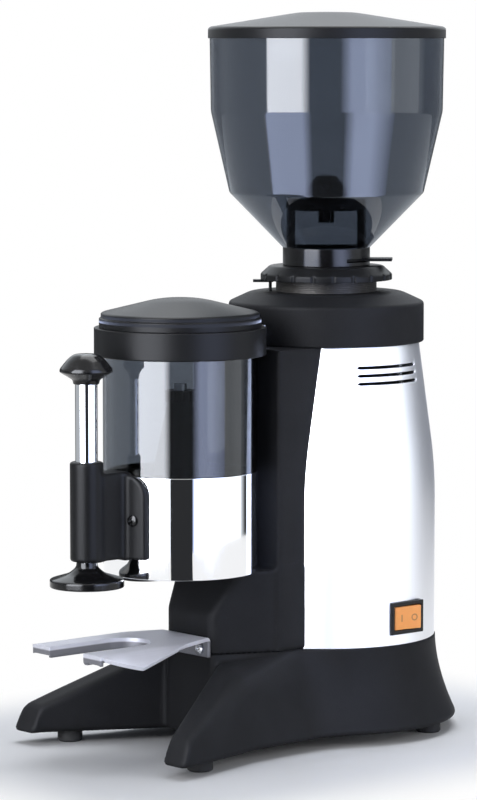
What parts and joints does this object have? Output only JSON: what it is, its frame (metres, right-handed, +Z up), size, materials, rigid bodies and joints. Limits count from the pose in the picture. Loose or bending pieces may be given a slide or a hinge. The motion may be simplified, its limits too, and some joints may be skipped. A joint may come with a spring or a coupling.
{
  "type": "electric coffee grinder",
  "caption": "Upright electric coffee grinder with a smoked bean hopper, a dosing drum with a lever, a hand press, a portafilter fork and a polished motor cover on a splayed black base.",
  "frame": {"origin": "on the counter, under the middle of the footprint", "axes": "+Z up, -Y towards the operator, +X to the side with the mains switch"},
  "size_m": [0.217, 0.3865, 0.5834],
  "materials": {
    "black_cast_aluminium": "satin",
    "polished_cover": "polished",
    "chrome": "polished",
    "stainless": "satin",
    "bright_steel": "satin",
    "cast_aluminium": "satin",
    "laminations": "satin",
    "copper_wire": "satin",
    "blackened_brass": "satin",
    "black_plastic": "satin",
    "gloss_black": "gloss",
    "smoked_plastic": "gloss",
    "amber_plastic": "gloss",
    "pale_plastic": "matte",
    "black_rubber": "matte"
  },
  "bodies": {
    "body": {"base_casting": "black_cast_aluminium", "base_plate": "bright_steel", "base_plate_screws": "bright_steel", "rubber_feet": "black_rubber", "feet_screws": "bright_steel", "front_column": "black_cast_aluminium", "motor_cover": "polished_cover", "burr_housing": "black_cast_aluminium", "motor_stator": "laminations", "motor_windings": "copper_wire", "upper_bearing": "bright_steel", "lower_bearing": "bright_steel", "motor_top_shield": "cast_aluminium", "motor_lower_shield": "cast_aluminium", "motor_tie_rods": "bright_steel", "capacitor": "pale_plastic", "terminal_block": "pale_plastic", "cord_gland": "black_plastic", "switch_housing": "gloss_black", "grounds_chute": "cast_aluminium", "doser_floor": "cast_aluminium", "doser_drum": "chrome", "doser_window": "smoked_plastic", "doser_ring": "black_plastic", "dosing_plate": "cast_aluminium", "outlet_funnel": "black_plastic", "lever_spring": "bright_steel", "tamper_bracket": "black_plastic", "bracket_screws": "bright_steel", "tamper_spring": "bright_steel", "portafilter_fork": "stainless", "fork_screws": "bright_steel"},
    "rotor": {"motor_rotor": "laminations", "motor_shaft": "bright_steel", "lower_burr_carrier": "cast_aluminium", "lower_burr": "bright_steel", "lower_burr_screws": "bright_steel"},
    "collar": {"adjusting_collar": "black_plastic", "upper_burr_carrier": "blackened_brass", "upper_burr": "bright_steel", "upper_burr_screws": "bright_steel"},
    "lock": {"collar_lock": "black_plastic"},
    "hopper_unit": {"hopper_neck": "gloss_black", "hopper": "smoked_plastic", "finger_guard": "gloss_black"},
    "gate": {"hopper_gate": "black_plastic"},
    "hopper_cover": {"hopper_lid": "black_plastic"},
    "rocker": {"switch_rocker": "amber_plastic"},
    "star": {"doser_star": "black_plastic", "doser_spindle": "bright_steel", "ratchet_wheel": "bright_steel", "dose_adjuster": "black_plastic"},
    "lever": {"dose_lever": "bright_steel", "lever_pawl": "bright_steel", "lever_knob": "gloss_black"},
    "doser_cover": {"doser_lid": "black_plastic"},
    "press": {"tamper_shaft": "chrome", "tamper_knob": "gloss_black", "tamper_disc": "gloss_black"}
  },
  "joints": [
    {"name": "motor_spin", "type": "hinge", "parent": "body", "child": "rotor", "pos_m": [0, 0.08575, 0.2], "axis": [0, 0, 1], "continuous": true},
    {"name": "grind_adjust", "type": "hinge", "parent": "body", "child": "collar", "pos_m": [0, 0.08575, 0.372], "axis": [0, 0, 1], "range_deg": [-60, 60]},
    {"name": "lock_press", "type": "slide", "parent": "body", "child": "lock", "axis": [0, 0, 1], "range_m": [-0.003, 0], "stiffness_N_per_m": 800, "springref_m": 0.002},
    {"name": "hopper_lift", "type": "slide", "parent": "collar", "child": "hopper_unit", "axis": [0, 0, 1], "range_m": [0, 0.06]},
    {"name": "gate_slide", "type": "slide", "parent": "hopper_unit", "child": "gate", "axis": [0.7071, 0.7071, 0], "range_m": [0, 0.05]},
    {"name": "hopper_lid_lift", "type": "slide", "parent": "hopper_unit", "child": "hopper_cover", "axis": [0, 0, 1], "range_m": [0, 0.06]},
    {"name": "switch_rock", "type": "hinge", "parent": "body", "child": "rocker", "pos_m": [0.0858, 0.09295, 0.0983], "axis": [0, 0, 1], "range_deg": [0, 14]},
    {"name": "lever_pull", "type": "hinge", "parent": "body", "child": "lever", "pos_m": [0, -0.06975, 0.154], "axis": [0, 0, 1], "range_deg": [0, 60], "stiffness_Nm_per_rad": 0.5, "springref_deg": -20.05},
    {"name": "star_turn", "type": "hinge", "parent": "body", "child": "star", "pos_m": [0, -0.06975, 0.19], "axis": [0, 0, 1], "range_deg": [0, 60]},
    {"name": "doser_lid_lift", "type": "slide", "parent": "body", "child": "doser_cover", "axis": [0, 0, 1], "range_m": [0, 0.05]},
    {"name": "press_down", "type": "slide", "parent": "body", "child": "press", "axis": [0, 0, 1], "range_m": [-0.035, 0], "stiffness_N_per_m": 250, "springref_m": 0.03, "deforming": ["tamper_spring"]}
  ],
  "couplings": [
    {"joint": "star_turn", "follows": "lever_pull", "ratio": 1}
  ]
}
